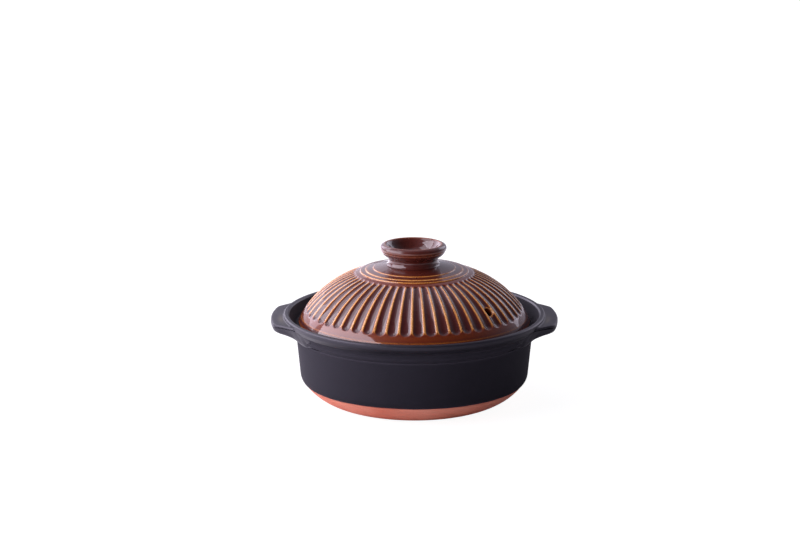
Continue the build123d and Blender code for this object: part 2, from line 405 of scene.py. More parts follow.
def mapRange(tree, value, low, high, toLow, toHigh):
    node = makeNode(tree, "ShaderNodeMapRange", {
        "Value": value, "From Min": low, "From Max": high, "To Min": toLow, "To Max": toHigh})
    return node.outputs["Result"]


def mixColour(tree, amount, one, two):
    return makeNode(tree, "ShaderNodeMix", {0: amount, 6: one, 7: two}, data_type="RGBA").outputs[2]


def mixShaders(tree, ending, share, one, two):
    mix = makeNode(tree, "ShaderNodeMixShader", {0: share, 1: one.outputs[0], 2: two.outputs[0]})
    makeNode(tree, ending, {"Surface": mix.outputs[0]})


def newMaterial(name, constants):
    material = bpy.data.materials.new(name)
    material.use_nodes = True
    shader = material.node_tree.nodes["Principled BSDF"]
    for key, value in constants.items():
        shader.inputs[key].default_value = value
    return material, material.node_tree, shader


def readMask(tree, name):
    return makeNode(tree, "ShaderNodeAttribute", attribute_name=name).outputs["Fac"]


def addBump(tree, shader, height, strength, distance):
    bump = makeNode(tree, "ShaderNodeBump", {"Strength": strength, "Distance": distance, "Height": height})
    tree.links.new(bump.outputs["Normal"], shader.inputs["Normal"])


def newGroup(name, inputs, outputs):
    group = bpy.data.node_groups.new(name, "ShaderNodeTree")
    for label, kind, value in inputs:
        socket = group.interface.new_socket(name=label, in_out="INPUT", socket_type=kind)
        socket.default_value = value
    for label, kind in outputs:
        group.interface.new_socket(name=label, in_out="OUTPUT", socket_type=kind)
    return group, group.nodes.new("NodeGroupInput"), group.nodes.new("NodeGroupOutput")


def placeGroup(tree, group, values):
    return makeNode(tree, "ShaderNodeGroup", values, node_tree=group)


# A procedural texture inside a node group
def addTexture(group, where, scale, kind, values):
    node = makeNode(group, "ShaderNodeTex" + kind, {"Vector": where, "Scale": scale, **values})
    return node.outputs["Distance" if kind == "Voronoi" else "Fac"]


def makeCamera():
    data = bpy.data.cameras.new("photoCamera")
    data.sensor_width = 36.0
    data.lens = cameraSetup["focalShare"] * 36.0
    data.clip_end = 20.0
    camera = addObject("photoCamera", data)
    camera.location = Vector(cameraSetup["place"]) * mm
    camera.rotation_euler = (radians(90 - cameraSetup["tiltDown"]), 0, radians(cameraSetup["turnLeft"]))
    bpy.context.scene.camera = camera


# The glow is how bright the panel itself looks, where 1 is white
def makeLamp(name, at, size, glow, colour, seenInGlaze=True):
    data = bpy.data.lights.new(name, "AREA")
    data.shape = "RECTANGLE"
    data.size, data.size_y = size
    data.energy = glow * pi * size[0] * size[1]
    data.color = colour
    lamp = addObject(name, data)
    lamp.location = at
    aim = Vector((0, 0, 0.08)) - Vector(at)
    lamp.rotation_euler = aim.to_track_quat("-Z", "Y").to_euler()
    lamp.visible_camera = False
    lamp.visible_glossy = seenInGlaze


# White to the camera, and to the glaze brighter behind and on the left
def makeWorld():
    world = bpy.data.worlds.new("studioWorld")
    bpy.context.scene.world = world
    world.use_nodes = True
    tree = world.node_tree
    tree.nodes.clear()
    where = makeNode(tree, "ShaderNodeTexCoord").outputs["Generated"]
    split = makeNode(tree, "ShaderNodeSeparateXYZ", {0: where}).outputs
    back = mapRange(tree, split["Y"], -0.3, 0.8, *studioSetup["worldBack"])
    left = mapRange(tree, split["X"], -0.9, 0.1, studioSetup["worldLeft"], 0.0)
    seen = makeNode(tree, "ShaderNodeBackground", {"Color": (1, 1, 1), "Strength": 1.0})
    lit = makeNode(tree, "ShaderNodeBackground", {
        "Color": studioSetup["worldColour"], "Strength": doMath(tree, "ADD", back, left)})
    camera = makeNode(tree, "ShaderNodeLightPath").outputs["Is Camera Ray"]
    mixShaders(tree, "ShaderNodeOutputWorld", camera, lit, seen)


def makeFloor():
    material = bpy.data.materials.new("studioFloor")
    material.use_nodes = True
    tree = material.node_tree
    tree.nodes.clear()
    ray = makeNode(tree, "ShaderNodeLightPath").outputs
    camera = ray["Is Camera Ray"]
    where = makeNode(tree, "ShaderNodeTexCoord").outputs["Object"]
    split = makeNode(tree, "ShaderNodeSeparateXYZ", {0: where}).outputs
    distance = makeNode(tree, "ShaderNodeVectorMath", {0: where}, operation="LENGTH").outputs["Value"]
    # painted light and shadow: the floor glows for the glaze as if lit, bright on the left and behind, and
    # dark close to the pot
    paintedFloorLight = mapRange(tree, split["X"], -0.32, 0.15, *studioSetup["floorPaintedLightInGlaze"])
    aside = mapRange(tree, doMath(tree, "ABSOLUTE", split["X"]), 0.12, 0.3, 0.1, 1.0)
    behind = mapRange(tree, split["Y"], 0.05, 0.5, 0.0, studioSetup["floorPaintedLightBehind"])
    paintedFloorLight = doMath(tree, "ADD", paintedFloorLight, doMath(tree, "MULTIPLY", aside, behind))
    near = mapRange(tree, split["X"], -0.15, -0.05, *studioSetup["floorPaintedShadowNear"])
    far = mapRange(tree, distance, 0.13, 0.25, 0.0, 1.0)
    paintedFloorLight = doMath(tree, "MULTIPLY", paintedFloorLight, doMath(tree, "MAXIMUM", near, far))
    # what the camera sees: paper that brightens away from the pot
    seen = mapRange(tree, distance, 0.45, 1.6, *studioSetup["floorGlow"])
    strength = doMath(tree, "ADD", doMath(tree, "MULTIPLY", camera, seen),
                      doMath(tree, "MULTIPLY", doMath(tree, "SUBTRACT", 1.0, camera), paintedFloorLight))
    tint = mixColour(tree, camera, studioSetup["floorTintInGlaze"], (1.0, 1.0, 1.0))
    paper = makeNode(tree, "ShaderNodeBsdfDiffuse", {"Color": studioSetup["paper"]})
    glow = makeNode(tree, "ShaderNodeEmission", {"Color": tint, "Strength": strength})
    share = doMath(tree, "MULTIPLY", doMath(tree, "MAXIMUM", camera, ray["Is Glossy Ray"]),
                   studioSetup["glowShare"])
    mixShaders(tree, "ShaderNodeOutputMaterial", share, paper, glow)
    reach = 4000
    corners = [(-reach, -reach, 0), (reach, -reach, 0), (reach, reach, 0), (-reach, reach, 0)]
    floor = toMesh("studioFloor", corners, [(0, 1, 2, 3)], [material])
    floor.location.z = -0.0004  # just under the foot


# Slow clouding, fine specks, the orange-peel skin and the grain of a fired glaze
def glazeMottleGroup():
    group, given, out = newGroup(
        "glazeMottle",
        [("Cloud Scale", "NodeSocketFloat", 25.0), ("Speck Scale", "NodeSocketFloat", 900.0),
         ("Peel Scale", "NodeSocketFloat", 420.0), ("Grain Scale", "NodeSocketFloat", 900.0)],
        [("Cloud", "NodeSocketFloat"), ("Specks", "NodeSocketFloat"), ("Peel", "NodeSocketFloat"),
         ("Grain", "NodeSocketFloat")],
    )
    where = makeNode(group, "ShaderNodeTexCoord").outputs["Object"]
    for label, detail, roughness in (("Cloud", 3.0, 0.55), ("Peel", 2.0, 0.5), ("Grain", 1.0, 0.5)):
        noise = addTexture(group, where, given.outputs[label + " Scale"], "Noise",
                           {"Detail": detail, "Roughness": roughness})
        group.links.new(noise, out.inputs[label])
    speck = addTexture(group, where, given.outputs["Speck Scale"], "Voronoi", {"Randomness": 1.0})
    group.links.new(mapRange(group, speck, 0.03, 0.16, 1.0, 0.0), out.inputs["Specks"])
    return group


# Sandy grain, grit and a slow blush of bare fired clay
def clayGrainGroup():
    group, given, out = newGroup(
        "clayGrain",
        [("Grain Scale", "NodeSocketFloat", 1400.0), ("Grit Scale", "NodeSocketFloat", 520.0),
         ("Blush Scale", "NodeSocketFloat", 22.0)],
        [("Grain", "NodeSocketFloat"), ("Grit", "NodeSocketFloat"), ("Blush", "NodeSocketFloat")],
    )
    where = makeNode(group, "ShaderNodeTexCoord").outputs["Object"]
    for label, values in (("Grain", {"Detail": 4.0, "Roughness": 0.7}), ("Blush", {"Detail": 2.0})):
        noise = addTexture(group, where, given.outputs[label + " Scale"], "Noise", values)
        group.links.new(noise, out.inputs[label])
    grit = addTexture(group, where, given.outputs["Grit Scale"], "Voronoi", {"Randomness": 1.0})
    group.links.new(mapRange(group, grit, 0.05, 0.22, 1.0, 0.0), out.inputs["Grit"])
    return group


def makePotGlaze(mottle):
    material, tree, shader = newMaterial(
        "satinBlackGlaze", {"Specular IOR Level": 0.5, "Specular Tint": (0.95, 0.9, 1.0, 1.0)})
    surface = placeGroup(tree, mottle, {"Cloud Scale": 30.0, "Speck Scale": 700.0, "Peel Scale": 520.0})
    cloud, thinAndSheen = surface.outputs["Cloud"], readMask(tree, "thinGlaze")
    base = mixColour(tree, cloud, glazeLooks["potBlack"], glazeLooks["potGrey"])
    # specks and thinly glazed edges turn paler; on the lip's edges the paler line is also a painted highlight
    for mask, share in ((surface.outputs["Specks"], 0.35), (thinAndSheen, 0.6)):
        base = mixColour(tree, doMath(tree, "MULTIPLY", mask, share), base, glazeLooks["potPaleAndSheen"])
    patch = doMath(tree, "MULTIPLY", readMask(tree, "wornPatch"), mapRange(tree, cloud, 0.35, 0.65, 0.3, 1.0))
    tree.links.new(mixColour(tree, patch, base, glazeLooks["potPatch"]), shader.inputs["Base Color"])
    # smoother where the glaze is thin, drier inside the pot
    rough = mapRange(tree, cloud, 0.3, 0.7, *glazeLooks["potRoughness"])
    rough = doMath(tree, "MULTIPLY", rough, mapRange(tree, thinAndSheen, 0.2, 0.8, 1.0, 0.6))
    dry = doMath(tree, "MULTIPLY", readMask(tree, "dryInside"), glazeLooks["insideRoughness"])
    tree.links.new(doMath(tree, "MAXIMUM", rough, dry), shader.inputs["Roughness"])
    addBump(tree, shader, surface.outputs["Peel"], 0.12, 0.0002)
    return material


def makeLidGlaze(mottle):
    material, tree, shader = newMaterial("amberGlaze", {
        "Specular IOR Level": 0.12, "Coat Roughness": 0.045, "Coat IOR": 1.56, "Coat Weight": 1.0})
    surface = placeGroup(tree, mottle, {"Cloud Scale": 42.0, "Speck Scale": 600.0, "Peel Scale": 240.0})
    cloud = surface.outputs["Cloud"]
    uneven = mapRange(tree, cloud, 0.3, 0.7, 0.85, 1.15)
    grainy = mapRange(tree, surface.outputs["Grain"], 0.3, 0.7, 0.72, 1.2)
    thin = doMath(tree, "MULTIPLY", readMask(tree, "thinGlaze"), uneven)
    amount = doMath(tree, "MULTIPLY", thin, grainy, True)
    deep = mixColour(tree, cloud, glazeLooks["lidPool"], glazeLooks["lidDeep"])
    colour = mixColour(tree, readMask(tree, "pooledGlaze"), glazeLooks["lidBody"], deep)
    # the thinner the glaze, the paler it fires
    for low, high, look in ((0.04, 0.2, "lidBrown"), (0.18, 0.55, "lidAmber"), (0.55, 1.0, "lidPale")):
        colour = mixColour(tree, mapRange(tree, amount, low, high, 0.0, 1.0), colour, glazeLooks[look])
    specks = doMath(tree, "MULTIPLY", surface.outputs["Specks"], 0.18)
    tree.links.new(mixColour(tree, specks, colour, glazeLooks["lidAmber"]), shader.inputs["Base Color"])
    tree.links.new(mapRange(tree, cloud, 0.3, 0.7, *glazeLooks["lidRoughness"]), shader.inputs["Roughness"])
    addBump(tree, shader, surface.outputs["Peel"], 0.05, 0.0003)
    return material


def makeBareClay(grain):
    material, tree, shader = newMaterial("bareFiredClay", {"Specular IOR Level": 0.35})
    surface = placeGroup(tree, grain, {"Grain Scale": 1300.0, "Grit Scale": 480.0})
    blush = mapRange(tree, surface.outputs["Blush"], 0.3, 0.7, 0.0, 1.0)
    colour = mixColour(tree, blush, glazeLooks["clay"], glazeLooks["clayPale"])
    dark = mapRange(tree, surface.outputs["Grain"], 0.5, 0.75, 0.0, 0.55)
    colour = mixColour(tree, dark, colour, glazeLooks["clayDark"])
    grit = doMath(tree, "MULTIPLY", surface.outputs["Grit"], 0.5)
    tree.links.new(mixColour(tree, grit, colour, glazeLooks["clayPale"]), shader.inputs["Base Color"])
    tree.links.new(mapRange(tree, surface.outputs["Grain"], 0.3, 0.7, *glazeLooks["clayRoughness"]),
                   shader.inputs["Roughness"])
    addBump(tree, shader, surface.outputs["Grain"], 0.45, 0.0003)
    return material


# The sizes that come from the frame, beside the ones in the dictionary
def potSizes():
    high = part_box("pot_body")[1]
    s = dict(potSetup)
    s["height"] = high.z / mm
    s["lip"] = high.x / mm
    s["lipInner"] = s["lip"] - s["lipBand"]
    s["band"] = s["lip"] - s["lipOverhang"]
    s["collar"] = s["band"] - s["bandOverhang"]
    s["wallTop"] = s["collar"] - s["collarStep"]
    s["wallFoot"] = s["wallTop"] - s["wallTaper"]
    s["foot"] = s["wallFoot"] - s["heelWidth"]
    s["crease"] = s["height"] - s["collarDepth"]
    s["ledge"] = s["height"] - s["galleryDepth"]
    s["galleryFoot"] = s["lipInner"] - s["galleryLean"]
    s["bowl"] = s["galleryFoot"] - s["ledgeWidth"]
    return s


# The pot's whole section, from the middle of the base outside, over the lip and down inside
def potProfile(s):
    taper = s["wallTaper"] / (s["crease"] - s["heelHeight"])
    beadLow = s["crease"] - s["beadDepth"] - 1.0
    beadWall = s["wallFoot"] + taper * (beadLow - s["heelHeight"])
    corners = [
        (0, s["footRecess"], 0, 0),
        (s["foot"] - s["footRing"] - s["footRecess"], s["footRecess"], 1.5, 0),
        (s["foot"] - s["footRing"], 0, 1.0, 0),
        (s["foot"], 0, 1.2, -s["heelSag"]),
        (s["wallFoot"], s["heelHeight"], 14, 0),
        (beadWall, beadLow, 2.0, 0),
        (beadWall + s["beadStand"] + 0.1, s["crease"] - s["beadDepth"] * 0.55, 0.6, 0),
        (s["wallTop"] + s["beadStand"] * 0.5, s["crease"] - 0.35, 0.35, 0),
        (s["wallTop"], s["crease"], 0.25, 0),
        (s["wallTop"] + 1.5, s["crease"] + 0.9, 1.0, 0),
        (s["collar"], s["crease"] + s["collarRoll"] + 0.6, 3.0, 0),
        (s["band"], s["height"] - s["flareDepth"], 2.6, -0.4),
        (s["lip"] - 0.6, s["height"] - s["lipEdge"] - 2.2, 3.5, 0),
        (s["lip"], s["height"] - s["lipEdge"], 2.0, 0),
        (s["lip"], s["height"] - 1.2, 1.4, 0),
        (s["lip"] - 1.3, s["height"], 1.4, 0),
        (s["lipInner"] + 0.9, s["height"], 1.0, 0),
        (s["lipInner"], s["height"] - 1.1, 1.2, 0),
        (s["galleryFoot"], s["ledge"], 2.4, 0),
        (s["bowl"], s["ledge"], 1.8, 0),
        (s["bowl"] - s["bowlTaper"], s["floorThickness"], s["bowlCorner"], 0),
        (0, s["floorThickness"], 0, 0),
    ]
    return roundedPath(corners)


def makePot(glaze, clay):
    s = potSizes()
    profile = potProfile(s)
    # the glaze stops on the heel: everything under the line sits back by the glaze's thickness
    rising = (profile[:-1, 0] > s["foot"] * 0.5) & (profile[1:, 1] > s["glazeLineHeight"])
    heel = int(np.nonzero(rising & (profile[:-1, 1] <= s["glazeLineHeight"]))[0][0])
    a, b = profile[heel], profile[heel + 1]
    share = (s["glazeLineHeight"] - a[1]) / (b[1] - a[1])
    line = a + (b - a) * share
    way = (b - a) / hypot(*(b - a))
    out = np.array((way[1], -way[0]))
    below = profile[:heel + 1]
    below = below - out * s["glazeThickness"] * (below[:, 0:1] > s["foot"] * 0.98)
    edge = [line - out * s["glazeThickness"] * share + way * along
            for share, along in ((1, -0.25), (0.4, -0.02), (1 / 6, 0.18), (0, 0.5))]
    rows = np.vstack([below, edge, profile[heel + 1:]])
    clayRows = heel + 2
    points, faces = turnProfile(rows, s["columns"])
    # point 0 is the middle of the base, and the rows follow it
    slots = [1 if (min(face) - 1) // s["columns"] < clayRows - 1 else 0 for face in faces]
    # the line wavers a little round the heel, as a dipped line does
    points = np.array(points)
    angle = np.arctan2(points[:, 1], points[:, 0])
    radius = np.hypot(points[:, 0], points[:, 1])
    waver = np.exp(-((points[:, 2] - s["glazeLineHeight"]) / 2.2) ** 2) * (radius > s["foot"])
    waver *= sum(size * np.sin(count * angle + turn) for size, count, turn in s["lineWaves"])
    points += waver[:, None] * np.column_stack([way[0] * np.cos(angle), way[0] * np.sin(angle),
                                                np.full(len(angle), way[1])])
    pot = toMesh("pot", points, faces, [glaze, clay], slots)
    flat = turnedBack(pointsOf(pot))
    # paler where the glaze runs thin on the edges and at the glaze line; on the lip's inner and outer edges
    # it is also a painted highlight
    setMask(pot, "thinGlaze", edgeMask(flat, [
        (s["lipInner"] + 0.4, s["height"] - 0.5, 0.8, 0.8),
        (s["lip"] - 0.4, s["height"] - 0.5, 0.8, 0.6),
        (s["wallTop"] + 0.4, s["crease"] - 0.9, 0.7, 0.7),
        (s["collar"], s["crease"] + 3.6, 1.0, 0.25),
        (line[0], line[1] + 0.4, 0.5, 0.9),
    ]))
    inside = (flat[:, 0] < s["lipInner"] - 0.3) & (flat[:, 1] > s["floorThickness"] - 1)
    setMask(pot, "dryInside", np.where(inside, 1.0, 0.0))
    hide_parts("pot_body")
    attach(pot, "pot")
    return s, profile


# The lug's plan radius at each azimuth from its middle, as a fine table
def lugOutline(s, lug):
    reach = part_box("lug_right")[1].x / mm
    cornerX = reach - lug["cornerBack"]
    meets = sqrt(s["lip"] ** 2 - lug["halfWidth"] ** 2)
    slope = (lug["halfWidth"] - lug["cornerY"]) / (cornerX - meets)
    far = (cornerX - 50, lug["cornerY"] + slope * 50)
    path = roundedPath([
        (far[0], -far[1], 0, 0),
        (cornerX, -lug["cornerY"], lug["cornerRound"], -lug["cornerBack"]),
        (cornerX, lug["cornerY"], lug["cornerRound"], 0),
        (far[0], far[1], 0, 0),
    ], 0.8)
    angles = np.degrees(np.arctan2(path[:, 1], path[:, 0]))
    order = np.argsort(angles)
    return angles[order], np.hypot(path[:, 0], path[:, 1])[order]


# Tables of the pot's outer and inner skin above the heel: radius and height, from low to high
def potSkins(s, profile):
    top = int(np.argmax(profile[:, 1]))
    skins = []
    for part, least, lowest in ((profile[:top + 1], s["foot"], s["heelHeight"]),
                                (profile[top:][::-1], s["bowl"] - 2, s["heelHeight"] + 15)):
        kept = part[(part[:, 0] > least) & (part[:, 1] > lowest)]
        skins.append(kept[np.argsort(kept[:, 1], kind="stable")])
    return skins


# The lug's underside is one turned surface under both lugs, given from the lip inwards and down
def lugLowerEdge(lug, s, radius):
    table = np.array(lug["underside"])
    return s["height"] + float(np.interp(radius - s["lip"], table[:, 0], table[:, 1]))


# One upright cut through a lug: underside, lower edge, side with its grip line, top, cove at the lip
def lugSection(lug, s, skins, radius, onSlant, sunk, reach):
    outer, inner = skins
    edge = lug["edgeRound"]
    top = s["height"] - lug["topDrop"]
    outerTop = top - lug["topFall"] * max(0.0, radius - s["lip"]) / (reach - s["lip"])
    wide = edge + lug["tipRound"] * clamp((radius - lug["tipRadius"]) / 5.0)
    lean = lug["sideLean"] * clamp((reach - 3.0 - radius) / 7.0)
    heel = max(radius - lean, s["band"] + 0.5 - lug["endSink"] * sunk)
    lean = radius - heel
    low = lugLowerEdge(lug, s, heel)
    flare = outer[(outer[:, 1] > s["crease"] + 2) & (outer[:, 1] < s["height"] - 3.5)]
    under = float(np.interp(radius, flare[:, 0], flare[:, 1])) + 2.5 if radius < s["lip"] - 0.3 else 1e9
    outerTop = max(min(outerTop, under), low + 5.0)
    faceTop = max(outerTop - edge, low + wide * 1.8 + 0.6)

    def faceRadius(z):
        return radius - lean * clamp((faceTop - z) / (faceTop - low))

    grow = clamp((radius - s["collar"]) / 8)
    wallZ = s["crease"] - 0.2 - lug["undersideDrop"] * grow
    wallR = float(np.interp(wallZ, outer[:, 1], outer[:, 0])) - 0.4
    section = [(wallR - 2.0, wallZ - 0.3)]
    endR = max(heel - wide * 1.4, wallR + 0.6)
    for k in range(15):
        r = wallR + (endR - wallR) * k / 14
        section.append((r, wallZ + (lugLowerEdge(lug, s, r) - wallZ) * min(1.0, (r - wallR) / 2.5)))
    c = np.array(section[-1])
    e, corner = np.array((faceRadius(low + wide * 1.8), low + wide * 1.8)), np.array((heel, low + 0.4))
    for k in range(1, 8):
        t = k / 7
        section.append((1 - t) ** 2 * c + 2 * (1 - t) * t * corner + t * t * e)
    lineZ, lineHalf = max(outerTop - lug["gripLineDrop"], e[1] + 0.5), lug["gripLineHalf"]
    for z in np.linspace(e[1], max(lineZ - lineHalf * 1.6, e[1] + 0.1), 5)[1:]:
        section.append((faceRadius(z), z))
    for k in range(-5, 6):
        z = lineZ + lineHalf * 1.5 * k / 5
        dip = lug["gripLineDepth"] * onSlant * np.exp(-((z - lineZ) / (lineHalf * 0.7)) ** 4)
        section.append((faceRadius(z) - dip, min(z, faceTop - 0.01 * (5 - k))))
    for k in range(7):
        t = k / 6 * pi / 2
        section.append((radius - edge * (1 - cos(t)), faceTop + (outerTop - faceTop) * sin(t)))
    start = radius - edge
    foot = min(s["lip"] + 1.5, start - 0.1)
    for k in range(1, 9):
        r = start + (foot - start) * k / 8
        rise = lug["topFall"] * (radius - r) / (reach - s["lip"]) if radius > s["lip"] else 0.0
        section.append((r, outerTop + rise))
    highest = section[-1][1]
    for k in range(1, 6):
        t = k / 5 * pi / 2
        section.append((foot - 1.8 * sin(t), highest + 1.5 * (1 - cos(t)) * (radius >= s["lip"] - 0.3)))
    section.append((foot - 3.0, highest))
    section = np.array(section)
    # the side runs softly into the pot's skin, and ends just under it
    side = 1 + 15 + 7 + 4 + 11 + 1  # points up to the top's edge
    skin = np.interp(section[:, 1], outer[:, 1], outer[:, 0])
    joined = softMax(section[:, 0], skin - 0.3, lug["blend"])
    under = np.clip((skin + 0.9 - section[:, 0]) / 1.8, 0, 1)
    blended = joined - (0.35 + lug["blend"] * 0.22) * under
    section[:side, 0] = blended[:side]
    # over the flare nothing comes out inside the gallery
    section[side:, 0] = np.minimum(section[side:, 0], section[side - 1, 0])
    wall = np.interp(section[:, 1], inner[:, 1], inner[:, 0])
    section[side:, 0] = np.maximum(section[side:, 0], wall[side:] + 1.2)
    return section


def makeLug(side, s, profile, glaze):
    lug = lugSetup
    tableAngle, tableRadius = lugOutline(s, lug)
    reach = tableRadius.max()
    top = s["height"] - lug["topDrop"]
    skins = potSkins(s, profile)
    angles = np.linspace(-lug["halfAngle"], lug["halfAngle"], lug["columns"])
    plan = np.interp(angles, tableAngle, tableRadius)
    plan -= lug["endSink"] * np.clip((np.abs(angles) - lug["sinkFrom"]) / 10.0, 0, 1) ** 1.5
    turn = 0.0 if side > 0 else pi
    points, mask, patch, rings = [], [], [], []
    for angle, radius in zip(angles, plan):
        onSlant = clamp(abs(angle) - lug["gripLineFrom"]) * clamp((radius - lug["gripLineRadius"]) / 1.5)
        sunk = clamp((abs(angle) - lug["heelSinkFrom"]) / 8.0)
        section = lugSection(lug, s, skins, radius, onSlant, sunk, reach)
        a = radians(angle) + turn
        low = lugLowerEdge(lug, s, radius)
        front = -sin(a) * radius
        rings.append(range(len(points), len(points) + len(section)))
        for r, z in section:
            points.append((r * cos(a), r * sin(a), z))
            upper = 0.5 / (1 + (hypot(z - (top - 0.5), r - radius + 0.3) / 0.7) ** 2)
            lower = 0.3 / (1 + (hypot(z - low - 0.5, r - radius + 0.3) / 0.9) ** 2)
            mask.append(max(upper, lower))
            onTop = z > top - 1.5
            patch.append(onTop * np.exp(-((r - s["lip"] - 3.2) / 2.4) ** 2 - ((front - 20) / 15) ** 2))
    faces = [face for low, high in zip(rings, rings[1:]) for face in ringFaces(low, high, True)]
    faces += [tuple(rings[0]), tuple(reversed(rings[-1]))]
    piece = toMesh("lugRight" if side > 0 else "lugLeft", points, faces, [glaze])
    setMask(piece, "thinGlaze", mask)
    setMask(piece, "wornPatch", patch)
    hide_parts("lug_right" if side > 0 else "lug_left")
    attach(piece, "pot")


def lidSizes():
    low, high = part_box("lid_dome")
    d = dict(lidSetup)
    d["seat"] = low.z / mm
    d["flange"] = high.x / mm
    d["arris"] = d["flange"] - d["arrisLean"]
    d["arrisZ"] = d["seat"] + d["arrisHeight"]
    d["domeTop"] = d["arrisZ"] + d["domeRise"]
    d["dome"] = Segment((d["crownRadius"], d["domeTop"]), (d["arris"], d["arrisZ"]), d["domeSag"])
    return d


# A point of the dome's arc, and its outward normal, at an angle from straight up
def domeAt(d, angle):
    way = np.array((sin(angle), cos(angle)))
    return d["dome"].centre + d["dome"].radius * way, way


def domeAngle(d, distance):
    away = distance - d["dome"].centre[0]
    return atan2(away, sqrt(d["dome"].radius ** 2 - away ** 2))


# The gouge at a distance from the axis: half width of its cut, radius, height of its middle
def gouge(d, distance):
    pitch = 2 * pi * distance / d["fluteCount"]
    halfWidth = pitch * d["fluteWidthShare"] / 2
    depth = pitch * d["fluteDepthShare"]
    radius = (halfWidth ** 2 + depth ** 2) / (2 * depth)
    return halfWidth, radius, radius - depth


# The radii between which the gouge runs at its full width
def fluteEnds(d):
    return [end + side * gouge(d, end)[0] * cos(domeAngle(d, end))
            for end, side in ((d["fluteInner"], 1), (d["fluteOuter"], -1))]


# Depth of the carving, below zero outside it, at an angle from straight up on the dome's arc
# and at a share of a pitch from the flute's middle
def fluteDepth(d, angle, share, vary):
    dome = d["dome"]
    first, last = fluteEnds(d)
    firstAngle, lastAngle = domeAngle(d, first), domeAngle(d, last) + vary["end"] / dome.radius
    held = clamp(dome.centre[0] + dome.radius * sin(angle), first, last)
    radius, stand = gouge(d, held)[1:]
    across = share * 2 * pi * held / d["fluteCount"]
    beyond = max(firstAngle - angle, angle - lastAngle, 0.0) * dome.radius
    inside = radius ** 2 - across ** 2 - beyond ** 2
    if inside <= 0:
        return -stand
    return (sqrt(inside) - stand) * (1 + vary["depth"])


# From the axis out over the knob's pad and the rings to the dome's first point
def crownProfile(d):
    edge = d["domeTop"] + d["crownStep"]
    outerRing, innerRing = d["crownRings"]
    z1, z2 = np.interp((innerRing, outerRing), (d["padRadius"], d["crownRadius"]), (d["padHeight"], edge))
    corners = [
        (0, d["padHeight"], 0, 0),
        (d["padRadius"], d["padHeight"], 2.0, 0),
        (innerRing, z1 + 0.12, 0.6, 0),
        (innerRing + 0.5, z1 - d["ringStep"], 0.5, 0),
        (outerRing, z2 + 0.12, 0.6, 0),
        (outerRing + 0.5, z2 - d["ringStep"], 0.5, 0),
        (d["crownRadius"] - 0.2, edge + 0.1, 0.7, 0),
        (d["crownRadius"] + 0.35, d["domeTop"] - 0.15, 0.5, 0),
        tuple(domeAt(d, domeAngle(d, d["crownRadius"] + 1.4))[0]) + (0, 0),
    ]
    return roundedPath(corners, 2.2), [(innerRing, z1, 0.42, 0.8), (outerRing, z2, 0.5, 0.95),
                                       (d["crownRadius"] - 0.1, edge, 0.5, 0.85)]


# From the dome's last fluted row over the arris, round the flange, and up inside to the axis
def skirtProfile(d, start):
    dome = d["dome"]
    centre, inner = dome.centre, dome.radius - d["wall"]
    seatInner = d["flange"] - d["seatWidth"]

    def innerZ(r):
        return centre[1] + sqrt(inner ** 2 - (r - centre[0]) ** 2)

    roof = innerZ(d["innerCrown"]) + d["innerRise"]
    chord = np.array([(r, innerZ(r)) for r in (seatInner, d["innerCrown"])])
    innerSag = inner - hypot(*(chord.mean(axis=0) - centre))
    half = hypot(d["arris"] - start[0], d["arrisZ"] - start[1]) / 2
    outerSag = dome.radius - sqrt(dome.radius ** 2 - half ** 2)
    corners = [
        (start[0], start[1], 0, outerSag),
        (d["arris"], d["arrisZ"], 0.8, 0),
        (d["flange"], d["seat"] + d["flangeHeight"], 0.9, 0),
        (d["flange"], d["seat"], 1.4, 0),
        (seatInner, d["seat"], 0.8, 0),
        (seatInner, innerZ(seatInner), 3.0, -innerSag),
        (d["innerCrown"], innerZ(d["innerCrown"]), 8.0, 0),
        (0, roof, 0, 0),
    ]
    return roundedPath(corners, 3.0)


# Each hand-carved flute differs a little: depth share, reach in millimetres, heading in pitch shares
def lidVariation(d):
    dice = np.random.default_rng(11)
    return [{"depth": float(dice.uniform(-0.06, 0.06)), "end": float(dice.uniform(-0.45, 0.45)),
             "turn": float(dice.uniform(-0.012, 0.012))} for _ in range(d["fluteCount"])]


def fluteHeading(d, index):
    return -90 + d["flutePhase"] + 360 / d["fluteCount"] * (index + 0.5)


# The raw carving depth at a point of the outer dome, and where the point is across its flute
def fluteAt(d, variation, x, y, z):
    pitch = 360 / d["fluteCount"]
    heading = (degrees(atan2(y, x)) + 90 - d["flutePhase"]) / pitch
    index = int(heading // 1) % d["fluteCount"]
    share = heading - heading // 1 - 0.5
    distance = hypot(x, y)
    angle = atan2(distance - d["dome"].centre[0], z - d["dome"].centre[1])
    return fluteDepth(d, angle, share, variation[index]), share


